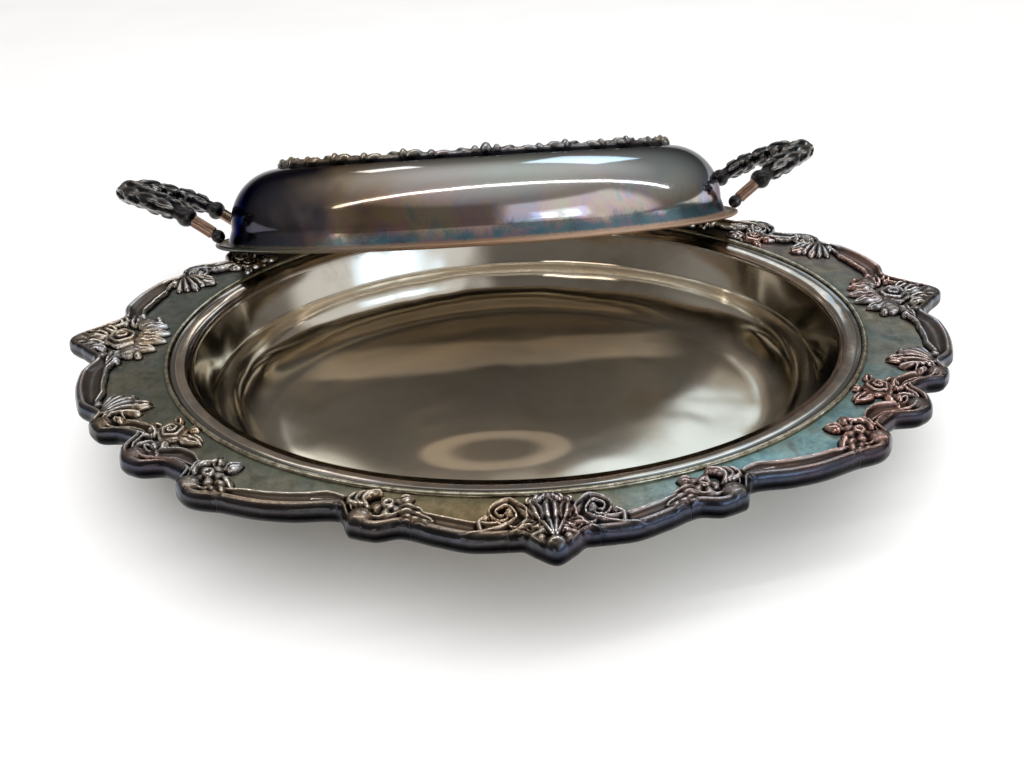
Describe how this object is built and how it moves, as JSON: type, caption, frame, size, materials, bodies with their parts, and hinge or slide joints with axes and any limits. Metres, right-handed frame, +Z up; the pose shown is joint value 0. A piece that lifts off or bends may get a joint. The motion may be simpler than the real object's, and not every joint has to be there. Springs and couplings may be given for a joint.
{
  "type": "oval covered serving dish",
  "caption": "Oval silver-plated serving dish with a cast scroll border and a loose domed cover with bow handles, laid open.",
  "frame": {"origin": "middle of the dish's flat base, on the table", "axes": "+X along the dish's length to the right, +Y towards the laid-down cover, +Z up"},
  "size_m": [0.5487, 0.5218, 0.1387],
  "materials": {
    "dish_plate": "mirror-polished silver plate with a warm tarnish on the flat border",
    "bead_plate": "polished raised bead",
    "border_casting": "oxidised cast border, dark in the hollows and coppery on the high points",
    "cover_plate": "mirror-polished silver plate with an iridescent tarnish",
    "top_casting": "oxidised cast border",
    "handle_casting": "oxidised casting, coppery where it is held"
  },
  "bodies": {
    "dish": {"back_cartouche": "border_casting", "back_left_corner_scroll": "border_casting", "back_left_end_moulding": "border_casting", "back_left_inner_spray": "border_casting", "back_left_long_moulding": "border_casting", "back_left_outer_spray": "border_casting", "back_left_rose": "border_casting", "back_left_shell_spray": "border_casting", "back_left_shoulder_moulding": "border_casting", "back_left_side_scroll": "border_casting", "back_right_corner_scroll": "border_casting", "back_right_end_moulding": "border_casting", "back_right_inner_spray": "border_casting", "back_right_long_moulding": "border_casting", "back_right_outer_spray": "border_casting", "back_right_rose": "border_casting", "back_right_shell_spray": "border_casting", "back_right_shoulder_moulding": "border_casting", "back_right_side_scroll": "border_casting", "dish_shell": "dish_plate", "front_cartouche": "border_casting", "front_left_corner_scroll": "border_casting", "front_left_end_moulding": "border_casting", "front_left_inner_spray": "border_casting", "front_left_long_moulding": "border_casting", "front_left_outer_spray": "border_casting", "front_left_rose": "border_casting", "front_left_shell_spray": "border_casting", "front_left_shoulder_moulding": "border_casting", "front_left_side_scroll": "border_casting", "front_right_corner_scroll": "border_casting", "front_right_end_moulding": "border_casting", "front_right_inner_spray": "border_casting", "front_right_long_moulding": "border_casting", "front_right_outer_spray": "border_casting", "front_right_rose": "border_casting", "front_right_shell_spray": "border_casting", "front_right_shoulder_moulding": "border_casting", "front_right_side_scroll": "border_casting", "left_end_spray": "border_casting", "right_end_spray": "border_casting", "well_bead": "bead_plate"},
    "cover": {"cover_shell": "cover_plate", "left_handle": "handle_casting", "right_handle": "handle_casting", "top_back_cartouche": "top_casting", "top_front_cartouche": "top_casting", "top_left_back_moulding": "top_casting", "top_left_cartouche": "top_casting", "top_left_front_moulding": "top_casting", "top_right_back_moulding": "top_casting", "top_right_cartouche": "top_casting", "top_right_front_moulding": "top_casting"}
  },
  "joints": [
    {"name": "cover_lift", "type": "slide", "parent": "dish", "child": "cover", "axis": [0, 0, 1], "range_m": [0, 0.15]}
  ]
}
